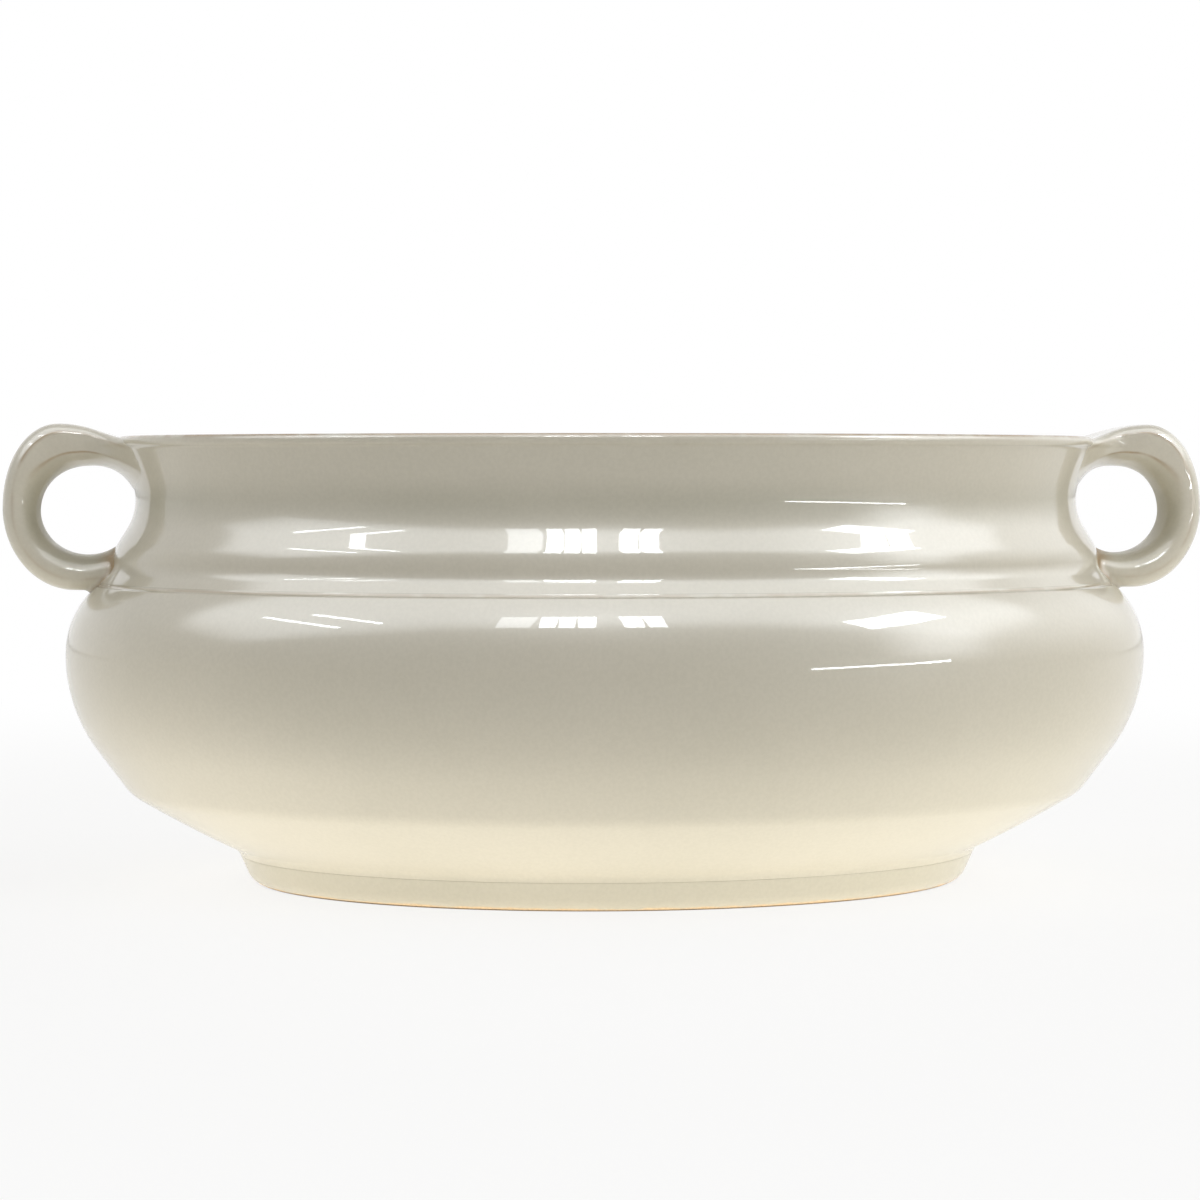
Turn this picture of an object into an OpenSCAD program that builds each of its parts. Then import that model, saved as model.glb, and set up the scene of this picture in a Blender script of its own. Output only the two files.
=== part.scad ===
// Oval glazed ceramic planter bowl with a waisted collar, a rolled lip,
// a low foot ring and a strap loop handle at each end.
// Origin on the table under the middle of the bowl, X along its length, Z up.

/* [Bowl] */
// Length of the bowl at its widest line
belly_len = 339.4; // [300:0.2:420]
// Depth of the bowl at its widest line, front to back
belly_dep = 237.6; // [210:0.2:300]
// Height of the widest line above the table
belly_z = 71.6; // [69:0.2:79]
// Height of the rim above the table
bowl_h = 139.2; // [134:0.2:149]
// Thickness of the wall
wall = 6.4; // [5:0.1:8]
// Thickness of the floor
floor_t = 7; // [5:0.1:10]

/* [Shoulder and collar] */
// Rounding of the belly above its widest line
shoulder_r = 28.5; // [26:0.5:31]
// Rounding of the belly below its widest line
belly_r = 50; // [44:0.5:54]
// How far the sloping band above the groove draws in
band_run = 4.4; // [3.6:0.1:5]
// Height of the sloping band above the groove
band_rise = 4.7; // [4:0.1:5.4]
// Height of the upright face above the band
fascia_h = 2.5; // [1.5:0.1:3.5]
// How far the neck draws in from the upright face
neck_in = 7; // [6:0.1:8]
// Radius of the outer roll under the neck
roll_r = 8; // [6:0.5:9]
// Radius of the hollow at the neck
neck_r = 11.5; // [9:0.5:13]
// Radius of the long flare above the neck
flare_r = 117; // [90:1:150]
// Radius of the rolled lip
lip_r = 2.3; // [2:0.1:2.6]
// Radius of the fine groove between belly and band
groove_r = 0.6; // [0.4:0.1:0.8]

/* [Foot] */
// Length of the foot where it meets the bowl
foot_len = 231.6; // [212:0.2:250]
// Height of the foot ring
foot_h = 8.8; // [7.5:0.1:10]
// Width of the foot ring at its top
foot_w = 14; // [11:0.5:16]
// Rounding of the foot ring's bottom edge
foot_edge_r = 6.4; // [4:0.1:7]
// Radius of the hollow between foot and bowl
foot_cove_r = 5.3; // [4:0.1:6]

/* [Handles] */
// Height of a finger hole
loop_h = 28; // [25:0.2:30]
// Width of a finger hole, from the neck to the strap
loop_w = 31.2; // [27:0.2:34]
// Width of the strap, front to back
strap_w = 24; // [18:0.5:30]
// Thickness of the strap at its outermost line
strap_t = 9.6; // [7:0.1:12]
// Thickness of the strap over the finger hole
strap_top_t = 12.8; // [11:0.1:15]
// Thickness of the strap under the finger hole
strap_under_t = 11.2; // [9:0.1:14]
// Rounding of the strap's outer edges
strap_edge_r = 2.4; // [1.5:0.1:3]
// Rounding of the strap's edges round the finger hole
hole_edge_r = 3.8; // [2.5:0.1:4.5]

/* [Hidden] */
$fn = 96;

// Turns that the round stretches of the profile go through
shoulder_turn = 50;
belly_turn = 37;
past_neck_turn = 9;
foot_turn = 24;
quarter_turn = 90;
// Height of the neck, as a share of the height from the upright face to the rim
neck_share = 0.41;
// How much of the room under the neck its two roundings may fill, as a share
most_round_share = 0.95;
// Lower bowl: radius of its underside and length of the straight stretch above the crease
under_r = 365;
crease_run = 14.4;
// Height of the hollow under the floor, inside the foot ring
recess_h = 1.8;
// Foot ring: how far its inner wall leans in, its inner edge, and what is ground off flat
foot_lean = 1.5;
foot_inner_r = 2;
foot_grind = 0.3;
// Rim: how far the lip stands out, and its rounding towards the inside
lip_out = 1;
rim_edge_r = 4;
// Strap: where it crests and bottoms out behind its tip, how far its tip lies above the neck,
// how far its top starts below the rim, how far it widens there, how far its ends reach into
// the wall along their outer and their hole side, and where they stop
crest_run = 17;
under_run = 22.5;
tip_lift = 1;
root_drop = 0.8;
root_flare = 5;
root_depth = 4;
root_reach = 6;
crest_lead = 9;
root_lead = [7, 2];
upper_root_turn = 148;
lower_root_turn = -138;
// Turn of the bowl's end that a handle is cut to
end_turn = 40;
// Steps along the strap and round each of its edges
strap_steps = 34;
edge_steps = 4;
// Round stretches reach this far into the ones that they meet
seam = 0.01;
// Cuts run this far past the solids
overrun = 10;

belly_a = belly_len / 2;
depth_share = belly_dep / belly_len;
inner_share = (belly_dep - 2 * wall) / (belly_len - 2 * wall);

// Centres and ends of the round stretches, from the belly up to the lip
shoulder_c = [belly_a - shoulder_r, belly_z];
belly_c = [belly_a - belly_r - seam, belly_z];
groove = shoulder_c + shoulder_r * [cos(shoulder_turn), sin(shoulder_turn)];
fascia = groove + [-band_run, band_rise];
neck_a = fascia.x - neck_in;
slope_h = neck_share * (bowl_h - fascia.y - fascia_h);
// Roll and hollow under the neck, no rounder than the height between them leaves room for
room_r = most_round_share * (neck_in * neck_in + slope_h * slope_h) / (2 * neck_in);
round_share = min(1, room_r / (roll_r + neck_r));
roll_fit = roll_r * round_share;
neck_fit = neck_r * round_share;
slope_run = roll_fit + neck_fit - neck_in;
slope_turn = asin((roll_fit + neck_fit) / norm([slope_run, slope_h])) - atan2(slope_run, slope_h);
roll_c = fascia + [seam - roll_fit, fascia_h];
neck_c = [neck_a + neck_fit, roll_c.y + slope_h];
flare_c = neck_c + (flare_r - neck_fit) * [cos(past_neck_turn), -sin(past_neck_turn)] + [seam, 0];
lip_c = [arc_left(flare_c, flare_r, bowl_h - lip_r) + lip_out - lip_r, bowl_h - lip_r];
rim_c = [
    arc_left(flare_c, flare_r + wall - rim_edge_r, bowl_h - rim_edge_r) - seam,
    bowl_h - rim_edge_r
];

// The same from the belly down to the foot
belly_end = belly_c + belly_r * [cos(belly_turn), -sin(belly_turn)];
crease = belly_end - crease_run * [sin(belly_turn), cos(belly_turn)];
foot_a = foot_len / 2;
foot_c = [foot_a + foot_cove_r * cos(foot_turn), foot_h - foot_cove_r * sin(foot_turn)];
under_c = meet(crease, under_r, foot_c, under_r + foot_cove_r - seam);
recess_z = foot_h + recess_h;
floor_z = recess_z + floor_t;

// X of the left side of a circle at height z
function arc_left(c, r, z) = c.x - sqrt(r * r - (z - c.y) * (z - c.y));

// Upper left one of the two points that lie r1 from p1 and r2 from p2
function meet(p1, r1, p2, r2) =
    let (d = norm(p2 - p1), u = (p2 - p1) / d, s = (r1 * r1 - r2 * r2 + d * d) / (2 * d))
    p1 + s * u + sqrt(r1 * r1 - s * s) * [u.y, -u.x];

// A round of radius r about c
module disc(c, r) {
    translate(c) circle(r);
}

// The part of a disc above height z
module disc_above(c, r, z) {
    intersection() {
        disc(c, r);
        translate([c.x - r, z]) square([2 * r, c.y + r - z + overrun]);
    }
}

// Lower bowl from height z up to the widest line, drawn in by t
module lower(t, z) {
    end = belly_end - (t + seam) * [cos(belly_turn), -sin(belly_turn)];
    run = (end.y - z) / cos(belly_turn);
    intersection() {
        disc(under_c, under_r - t);
        union() {
            polygon([[0, z], end - run * [sin(belly_turn), cos(belly_turn)], end, belly_c, [0, belly_z]]);
            intersection() {
                disc(belly_c, belly_r - t);
                translate([0, z]) square([belly_a, belly_z - z]);
            }
        }
    }
}

// Neck and flare as they bite into the collar, t inside its outer face
module waist(t) {
    disc(neck_c, neck_fit + t);
    disc_above(flare_c, flare_r + t, neck_c.y + (neck_fit + t) * sin(past_neck_turn));
}

// Half of the bowl's outline, with the groove, the cove and the recess under its floor cut out
module outer_profile() {
    slope = [cos(slope_turn), sin(slope_turn)];
    difference() {
        union() {
            lower(0, foot_h);
            translate([0, foot_h]) square([foot_c.x, foot_cove_r - foot_h + foot_c.y]);
            disc(shoulder_c, shoulder_r);
            disc(roll_c, roll_fit);
            polygon([
                [0, floor_z], [foot_a, floor_z], shoulder_c,
                groove - seam * [cos(shoulder_turn), sin(shoulder_turn)], fascia, [fascia.x, roll_c.y],
                roll_c + (roll_fit - seam) * slope, neck_c - (neck_fit - seam) * slope,
                neck_c, [neck_c.x, lip_c.y], lip_c, [lip_c.x, bowl_h], [0, bowl_h]
            ]);
        }
        waist(0);
        disc(groove, groove_r);
        disc(foot_c, foot_cove_r);
        translate([0, foot_h - overrun]) square([foot_a - foot_w, recess_h + overrun]);
    }
    disc(lip_c, lip_r);
}

// The hollow inside the bowl, one wall inside its outline
module inner_profile() {
    low_r = shoulder_r - wall;
    high_r = neck_fit + wall;
    gap = neck_c - shoulder_c;
    turn = atan2(gap.y, gap.x) - acos((low_r + high_r) / norm(gap));
    slope = [cos(turn), sin(turn)];
    rim = rim_c - flare_c;
    rim_z = flare_c.y + (flare_r + wall) * rim.y / norm(rim);
    lower(wall, floor_z);
    disc(shoulder_c, low_r);
    difference() {
        polygon([
            [0, floor_z + overrun], shoulder_c, shoulder_c + (low_r - seam) * slope,
            neck_c - (high_r - seam) * slope, neck_c, [neck_c.x, bowl_h + overrun], [0, bowl_h + overrun]
        ]);
        waist(wall);
    }
    difference() {
        translate([0, rim_z]) square([rim_c.x, bowl_h - rim_z + overrun]);
        disc(rim_c, rim_edge_r);
    }
}

// Turns part of a profile round the axis, drawn in from front to back
module sector(share, from, angle) {
    scale([1, share, 1]) rotate(from) rotate_extrude(angle = angle) children();
}

// Turns a profile all the way round, in quarters whose joins lie between the four sides
module oval(share) {
    for (i = [0 : 3])
        sector(share, (i - 1 / 2) * quarter_turn, quarter_turn) children();
}

// Cross-section of the foot ring, a little longer than what is left after grinding
module foot_profile() {
    inner_top = foot_a - foot_w;
    inner_low = inner_top + foot_lean;
    wall_foot = foot_a - (foot_h + foot_grind) * tan(foot_turn);
    edge_c = [
        wall_foot + foot_edge_r * tan(foot_turn) - foot_edge_r / cos(foot_turn),
        foot_edge_r - foot_grind
    ];
    intersection() {
        union() {
            disc(edge_c, foot_edge_r);
            disc([inner_low + foot_inner_r, foot_inner_r - foot_grind], foot_inner_r);
            polygon([
                [inner_top, foot_h], [inner_low, foot_inner_r - foot_grind],
                [inner_low + foot_inner_r, -foot_grind], [edge_c.x, -foot_grind],
                edge_c + (foot_edge_r - seam) * [cos(foot_turn), -sin(foot_turn)], [foot_a, foot_h]
            ]);
        }
        translate([0, -foot_grind]) square([foot_a, foot_h + foot_grind]);
    }
}

// Finger hole: centre, and a point on its edge
hole_c = [neck_a + loop_w / 2, neck_c.y];
function hole_edge(turn) = hole_c + [loop_w / 2 * cos(turn), loop_h / 2 * sin(turn)];

// Outermost points of the strap: tip, crest, lowest point, and where it starts at the lip
tip = [hole_c.x + loop_w / 2 + strap_t, hole_c.y + tip_lift];
crest = [tip.x - crest_run, hole_c.y + loop_h / 2 + strap_top_t];
under = [tip.x - under_run, hole_c.y - loop_h / 2 - strap_under_t];
upper_root = [lip_c.x, bowl_h - root_drop];

// A value between a and b, and a point on the curve from a to d that leans to b and c
function blend(a, b, s) = a + (b - a) * s;
function curve(a, b, c, d, s) =
    pow(1 - s, 3) * a + 3 * s * pow(1 - s, 2) * b + 3 * s * s * (1 - s) * c + pow(s, 3) * d;

// Outer line of the strap: from the lip over the crest, round the tip and under to the shoulder
function past_quarter(turn, last) = (abs(turn) - quarter_turn) / (abs(last) - quarter_turn);
function strap_edge(turn) =
    turn > quarter_turn ? curve(crest, crest - [crest_lead, 0], upper_root + root_lead, upper_root,
                                past_quarter(turn, upper_root_turn))
    : turn > 0 ? [blend(crest.x, tip.x, cos(turn)), blend(tip.y, crest.y, sin(turn))]
    : turn > -quarter_turn ? [blend(under.x, tip.x, cos(turn)), blend(tip.y, under.y, -sin(turn))]
    : under - [(under.x - groove.x + root_depth) * past_quarter(turn, lower_root_turn), 0];

// Half width of the strap, wider where it runs into the lip
function half_w(turn) =
    strap_w / 2 + (turn > quarter_turn ? root_flare * pow(past_quarter(turn, upper_root_turn), 3) : 0);

// One rounded cross-section of the strap, from its hole side a to its outer side b
function section(a, b, w) =
    let (t = norm(b - a), u = (b - a) / t)
    [
        for (corner = [[1, 1], [1, -1], [-1, -1], [-1, 1]])
            let (r = corner.x > 0 ? strap_edge_r : hole_edge_r,
                 s = corner.x > 0 ? t - r : r,
                 from = corner.x * corner.y > 0 ? 1 : 0)
            for (i = [0 : edge_steps])
                let (turn = quarter_turn * (from == 1 ? 1 - i / edge_steps : i / edge_steps),
                     along = s + corner.x * r * cos(turn),
                     side = corner.y * (w - r + r * sin(turn)))
                [a.x + u.x * along, side, a.y + u.y * along]
    ];

// The whole strap, with ends that run on into the bowl's wall
module strap() {
    inward = [root_depth, 0];
    hole_end = hole_edge(upper_root_turn);
    hole_way = hole_end - hole_edge(upper_root_turn - 1);
    step = (upper_root_turn - lower_root_turn) / strap_steps;
    rings = [
        section(hole_end + root_reach * hole_way / norm(hole_way), upper_root - inward,
                half_w(upper_root_turn)),
        for (turn = [upper_root_turn : -step : lower_root_turn - step / 2])
            section(hole_edge(turn), strap_edge(turn), half_w(turn))
    ];
    n = len(rings[0]);
    last = len(rings) - 1;
    polyhedron(
        [for (ring = rings) each ring],
        [
            [for (i = [0 : n - 1]) i],
            [for (i = [n - 1 : -1 : 0]) last * n + i],
            for (k = [0 : last - 1])
                for (i = [0 : n - 1])
                    let (j = (i + 1) % n)
                    each [[k * n + i, (k + 1) * n + i, k * n + j],
                          [k * n + j, (k + 1) * n + i, (k + 1) * n + j]]
        ]
    );
}

// The strap, cut off where it meets the bowl
module handle() {
    difference() {
        strap();
        sector(depth_share, -end_turn / 2, end_turn) outer_profile();
    }
}

module bowl() {
    color("ivory") difference() {
        oval(depth_share) outer_profile();
        oval(inner_share) inner_profile();
    }
}

module foot_ring() {
    color("linen") difference() {
        oval(depth_share) foot_profile();
        translate([-belly_a, -belly_a, -overrun]) cube([belly_len, belly_len, overrun]);
    }
}

module handle_right() {
    color("cornsilk") handle();
}

module handle_left() {
    color("cornsilk") mirror([1, 0, 0]) handle();
}

bowl();
foot_ring();
handle_left();
handle_right();
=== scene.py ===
"""Oval glazed planter bowl with two strap handles: its pieces, its glaze and a plain studio.

Every piece is made in metres in the part's own frame: origin on the table under the middle of the
bowl, X along its length towards the right handle, Z up.
"""

import math

import bpy
import numpy as np
from mathutils import Euler, Matrix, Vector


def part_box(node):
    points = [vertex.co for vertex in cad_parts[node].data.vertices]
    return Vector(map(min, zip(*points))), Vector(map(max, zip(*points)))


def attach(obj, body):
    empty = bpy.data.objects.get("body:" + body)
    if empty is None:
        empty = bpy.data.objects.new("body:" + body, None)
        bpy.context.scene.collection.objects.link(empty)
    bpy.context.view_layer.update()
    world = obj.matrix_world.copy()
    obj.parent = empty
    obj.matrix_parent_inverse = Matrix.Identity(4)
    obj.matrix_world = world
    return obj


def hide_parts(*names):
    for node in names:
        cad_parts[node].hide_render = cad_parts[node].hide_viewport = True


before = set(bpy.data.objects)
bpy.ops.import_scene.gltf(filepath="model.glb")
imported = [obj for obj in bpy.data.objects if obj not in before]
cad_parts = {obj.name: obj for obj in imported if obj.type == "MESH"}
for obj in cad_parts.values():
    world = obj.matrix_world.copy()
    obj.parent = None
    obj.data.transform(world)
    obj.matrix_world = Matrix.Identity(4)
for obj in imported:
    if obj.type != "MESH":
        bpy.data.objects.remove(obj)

bl_info = {
    "name": "Glazed Planter Bowl",
    "version": (1, 0, 0),
    "blender": (4, 5, 0),
    "location": "3D Viewport > Sidebar > Planter",
    "description": "Builds an oval glazed planter bowl with two strap handles and a studio for it",
    "category": "Object",
}

MM = 0.001
QUARTER = math.pi / 2
WHITE = (1, 1, 1, 1)
BODY = "root"
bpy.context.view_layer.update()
BOWL_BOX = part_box("bowl")
FOOT_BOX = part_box("foot_ring")


# Kinds of property

def length(name, description, default):
    """A size in metres."""
    return bpy.props.FloatProperty(
        name=name, description=description, default=default, unit="LENGTH", precision=5
    )


def angle(name, description, degrees):
    """A turn, given in degrees and kept in radians."""
    return bpy.props.FloatProperty(
        name=name, description=description, default=math.radians(degrees), subtype="ANGLE"
    )


def amount(name, description, default, top=1.0):
    """A plain number from zero up."""
    return bpy.props.FloatProperty(
        name=name, description=description, default=default, min=0, soft_max=top, precision=3
    )


def count(name, description, default, most):
    """A whole number of steps."""
    return bpy.props.IntProperty(
        name=name, description=description, default=default, min=3, max=most
    )


def colour(name, description, default):
    """A linear colour."""
    return bpy.props.FloatVectorProperty(
        name=name, description=description, default=default, subtype="COLOR", min=0, max=1
    )


class BowlSizes(bpy.types.PropertyGroup):
    """Sizes of the turned form: bowl, collar, lip and foot."""

    belly_len: length("Belly length", "Length at the widest line", BOWL_BOX[1].x - BOWL_BOX[0].x)
    belly_dep: length("Belly depth", "Depth at the widest line", BOWL_BOX[1].y - BOWL_BOX[0].y)
    belly_z: length("Belly height", "Height of the widest line", 71.6 * MM)
    bowl_h: length("Rim height", "Height of the rim", BOWL_BOX[1].z)
    wall: length("Wall", "Thickness of the wall", 6.4 * MM)
    floor_t: length("Floor", "Thickness of the floor", 7 * MM)
    shoulder_r: length("Shoulder radius", "Rounding above the widest line", 28.5 * MM)
    belly_r: length("Belly radius", "Rounding below the widest line", 50 * MM)
    under_r: length("Underside radius", "Bow of the lower bowl", 365 * MM)
    crease_run: length("Crease run", "Straight stretch above the crease", 16.4 * MM)
    crease_r: length("Crease radius", "Rounding of the crease", 14 * MM)
    groove_r: length("Groove radius", "Radius of the fine groove", 2.2 * MM)
    groove_depth: length("Groove depth", "How deep the glaze leaves the groove", 0.12 * MM)
    band_run: length("Band run", "How far the sloping band draws in", 4.4 * MM)
    band_rise: length("Band rise", "Height of the sloping band", 4.7 * MM)
    band_edge_r: length("Band edge radius", "Rounding between band and upright face", 6 * MM)
    fascia_h: length("Upright face", "Height of the upright face", 2.5 * MM)
    neck_in: length("Neck depth", "How far the neck draws in", 6.8 * MM)
    roll_r: length("Roll radius", "Outer roll under the neck", 10.7 * MM)
    neck_r: length("Neck radius", "Hollow at the neck", 17 * MM)
    flare_r: length("Flare radius", "Long flare above the neck", 117 * MM)
    lip_r: length("Lip radius", "Radius of the rolled lip", 1.7 * MM)
    lip_out: length("Lip overhang", "How far the lip stands out", 0.7 * MM)
    rim_edge_r: length("Rim edge radius", "Rounding of the rim's inner edge", 4 * MM)
    floor_edge_r: length("Floor edge radius", "Hollow round the edge of the floor", 14 * MM)
    foot_len: length("Foot length", "Length of the foot at the joint", 231.6 * MM)
    foot_h: length("Foot height", "Height of the foot ring", FOOT_BOX[1].z)
    foot_w: length("Foot width", "Width of the foot ring at its top", 14 * MM)
    foot_edge_r: length("Foot edge radius", "Rounding of the foot's bottom edge", 6.4 * MM)
    foot_inner_r: length("Foot inner radius", "Rounding of the foot's inner edge", 2 * MM)
    foot_lean: length("Foot lean", "How far the foot's inner wall leans", 1.5 * MM)
    foot_grind: length("Foot grind", "What is ground off the foot", 0.3 * MM)
    foot_cove_r: length("Foot cove radius", "Hollow between foot and bowl", 5.3 * MM)
    recess_h: length("Recess height", "Hollow under the floor", 1.8 * MM)
    # The darkening at the neck is glaze that collects there and painted shade of the collar's hollow.
    neck_pool_and_shade: length("Neck pool", "How far up and down glaze gathers at the neck", 6 * MM)
    joint_r: length("Joint radius", "Rounding of the edges at the foot joint", 0.15 * MM)
    shoulder_turn: angle("Shoulder turn", "Turn of the shoulder's rounding", 50)
    belly_turn: angle("Belly turn", "Turn of the lower belly's rounding", 37)
    past_neck_turn: angle("Neck turn", "How far the hollow runs past the neck", 14)
    foot_turn: angle("Foot turn", "Lean of the foot's outer wall", 24)
    neck_share: amount("Neck share", "Height of the neck between upright face and rim", 0.49)
    foot_pool: amount("Foot pool", "How much glaze has gathered on the foot", 0.4)
    steps: count("Steps", "Steps round the oval", 240, 720)


class HandleSizes(bpy.types.PropertyGroup):
    """Sizes of a strap handle and its finger hole."""

    loop_h: length("Hole height", "Height of the finger hole", 27.6 * MM)
    loop_w: length("Hole width", "Width of the finger hole", 29.8 * MM)
    strap_w: length("Strap width", "Width of the strap", 24 * MM)
    strap_t: length("Strap thickness", "Thickness at the outermost line", 10.95 * MM)
    strap_top_t: length("Top thickness", "Thickness over the hole", 13.34 * MM)
    strap_under_t: length("Lower thickness", "Thickness under the hole", 11.05 * MM)
    edge_share: amount("Outer rounding", "Rounding of the outer edges, by thickness", 0.42)
    top_edge_share: amount("Top rounding", "Rounding of the outer edges over the hole", 0.25)
    hole_edge_share: amount("Hole rounding", "Rounding of the edges round the hole", 0.53)
    hole_top_share: amount("Hole top rounding", "Rounding of the hole's upper edges", 0.22)
    crown: length("Crown", "How far the strap's faces rise in the middle", 0.5 * MM)
    hole_crown: length("Hole crown", "How far the face round the hole rises", 1.4 * MM)
    hole_top_crown: length("Hole top crown", "How far the face over the hole rises", 4 * MM)
    hole_corner: amount("Hole corner", "How far the hole's upper inner corner fills out", 0.06)
    crest_run: length("Crest run", "From the crest to the tip", 17 * MM)
    under_run: length("Low point run", "From the lowest point to the tip", 22.5 * MM)
    tip_lift: length("Tip lift", "Height of the tip above the hole's middle", 1.35 * MM)
    root_drop: length("Root drop", "Start of the strap below the rim", 0.8 * MM)
    root_flare: length("Root flare", "How far the strap widens to its upper end", 5 * MM)
    root_sink: length("Root sink", "How far the end in the wall drops below the lip", 6 * MM)
    root_depth: length("Root depth", "How far the ends reach into the wall", 4 * MM)
    low_depth: length("Low root depth", "How far the lower end reaches into the wall", 2 * MM)
    crest_lead: length("Crest lead", "Level stretch at the crest", 9 * MM)
    root_run: length("Root run", "Run of the first stretch from the lip", 7 * MM)
    root_rise: length("Root rise", "Rise of the first stretch from the lip", 2 * MM)
    hole_in: length("Hole inset", "From the upright face in to the hole's edge", 7 * MM)
    hole_z: length("Hole centre", "Height of the finger hole's middle", 116.1 * MM)
    upper_fillet: length("Upper fillet", "Hollow where strap and collar meet", 12 * MM)
    lower_fillet: length("Lower fillet", "Hollow where strap and shoulder meet", 2.5 * MM)
    crevice_reach: length("Crevice reach", "How far glaze gathers along the lower end", 7 * MM)
    upper_turn: angle("Upper end", "Where the outer face ends at the lip", 148)
    inner_turn: angle("Inner end", "Where the hole's face ends on the collar", 176)
    lower_turn: angle("Lower end", "Where the lower end leaves the hole", -138)
    wobble: length("Wobble", "How far the hand-pulled strap strays", 0.35 * MM)
    steps: count("Steps", "Sections along the strap", 150, 400)
    edge_steps: count("Edge steps", "Steps round each edge", 12, 24)
    face_steps: count("Face steps", "Steps across each face", 10, 40)


class GlazeLook(bpy.types.PropertyGroup):
    """Colours and gloss of the glaze and the bare clay."""

    body: colour("Glaze", "Colour of the glaze", (0.635, 0.592, 0.485))
    # This colour is also the painted shade at the bowl's neck and on the handles' hole sides.
    pooled_and_shaded: colour("Pooled glaze", "Colour where the glaze gathers", (0.40, 0.385, 0.29))
    thin: colour("Thin glaze", "Colour where the glaze breaks over an edge", (0.36, 0.25, 0.13))
    clay: colour("Bare clay", "Colour of the ground foot", (0.74, 0.56, 0.35))
    gloss: amount("Surface roughness", "Roughness of the glaze's surface", 0.025)
    dulling: amount("Dulling", "How dull pooled glaze is on the handles", 0.75)
    ripple: length("Ripple", "Height of the glaze's faint ripples", 0.1 * MM)


class StudioSetup(bpy.types.PropertyGroup):
    """Camera, lamps and background."""

    camera_turn: angle("Camera turn", "How far left of the front the camera stands", 4.5)
    camera_far: length("Camera distance", "From the bowl's axis", 0.975)
    eye_z: length("Eye height", "Height of the camera", 129.6 * MM)
    frame_px: amount("Picture size", "Side of the square picture, in pixels", 1200, 4000)
    focal_px: amount("Focal length", "In pixels of the picture", 3080, 9000)
    horizon_px: amount("Horizon", "Row of the horizon in the picture", 467, 4000)
    axis_px: amount("Axis", "Column of the bowl's axis in the picture", 608.5, 4000)
    window_far: length("Window distance", "From the bowl to the lamps", 2.4)
    belly_z: length("Lamp centre", "Height that the lamps are set out from", 80 * MM)
    window_light: amount("Window light", "Brightness of the window lamps", 17, 60)
    wall_light: amount("Ceiling glow", "Brightness of the lit ceiling seen in the glaze", 2.65, 9)
    corner_light: amount("Corner glow", "Brightness of the room's corner seen in the glaze", 3.1, 9)
    side_light: amount("Side glow", "Brightness of the room's right side seen in the glaze", 1.1, 9)
    back_light: amount("Back glow", "Brightness of the room behind on the right", 0.75, 9)
    key_light: amount("Key light", "Brightness of the soft lamp on the right", 1.17, 9)
    high_light: amount("High light", "Brightness of the higher lamp on the right", 0.46, 9)
    left_light: amount("Left light", "Brightness of the soft lamp on the left", 0.45, 9)
    rim_light: amount("Rim light", "Brightness of the two lamps behind", 1.15, 9)
    overhead_light: amount("Overhead light", "Brightness of the lamp overhead", 0.4, 9)
    table_light: amount("Table light", "Brightness of the lamp under the bowl", 0.76, 9)
    table_wide: length("Table width", "Width of the lamp under the bowl", 0.5)
    table_deep: length("Table depth", "Depth of the lamp under the bowl", 0.29)
    room_light: amount("Room light", "Brightness of the room around", 0.1)
    pane_share: amount("Pane share", "How much of a window is glass, across its bars", 0.88)
    floor_white: amount("Floor white", "How far the floor near the bowl is shown white", 0.8)
    mirrored_white: amount("Mirrored white", "How much of that white the glaze mirrors", 0.5)
    white_from: length("White from", "Where the floor starts to fade to white", 0.3)
    white_to: length("White to", "Where the floor is all white", 0.8)
    floor: colour("Floor", "Colour of the floor", (0.92, 0.92, 0.91))


# Lines and arcs of a cross-section, as pairs of half length and height

def away(point, radius, direction):
    """The point this far off in a direction."""
    return (point[0] + radius * math.cos(direction), point[1] + radius * math.sin(direction))


def heading(start, end):
    """Direction from one point to another."""
    return math.atan2(end[1] - start[1], end[0] - start[0])


def arc(centre, radius, start, end, steps):
    """Points along an arc, from one direction to another."""
    return [away(centre, radius, t) for t in np.linspace(start, end, steps + 1)]


def meeting(p1, r1, p2, r2):
    """Point r1 from p1 and r2 from p2, on the right hand of the way from p1 to p2."""
    gap = math.dist(p1, p2)
    way = heading(p1, p2)
    along = (r1**2 - r2**2 + gap**2) / (2 * gap)
    return away(away(p1, along, way), math.sqrt(r1**2 - along**2), way - QUARTER)


def left_side(centre, radius, z):
    """Half length of the left side of a circle at height z."""
    return centre[0] - math.sqrt(radius**2 - (z - centre[1]) ** 2)


def run_to_circle(start, way, centre, radius):
    """Where a straight run from inside a circle reaches it."""
    along = (centre[0] - start[0]) * math.cos(way) + (centre[1] - start[1]) * math.sin(way)
    foot = away(start, along, way)
    return away(foot, math.sqrt(radius**2 - math.dist(foot, centre) ** 2), way)


def rounded(corner, way_in, way_out, radius, steps=6):
    """The arc that rounds a corner. Both ways point from the corner along its two sides."""
    half = math.remainder(way_out - way_in, math.tau) / 2
    reach = radius / abs(math.tan(half))
    centre = away(corner, radius / abs(math.sin(half)), way_in + half)
    start = heading(centre, away(corner, reach, way_in))
    end = heading(centre, away(corner, reach, way_out))
    return arc(centre, radius, start, start + math.remainder(end - start, math.tau), steps)


def supported(line, near=0.25 * MM, least=3 * MM, step=4 * MM):
    """Adds points to long straight stretches, close to their ends and in between."""
    points = [line[0]]
    for start, end in zip(line, line[1:]):
        gap = math.dist(start, end)
        if gap > least:
            shares = [near / gap, *np.linspace(0, 1, math.ceil(gap / step) + 1)[1:-1], 1 - near / gap]
            points += [tuple(np.add(start, np.subtract(end, start) * k)) for k in shares]
        if gap > near / 10:
            points.append(end)
    return points


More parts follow.
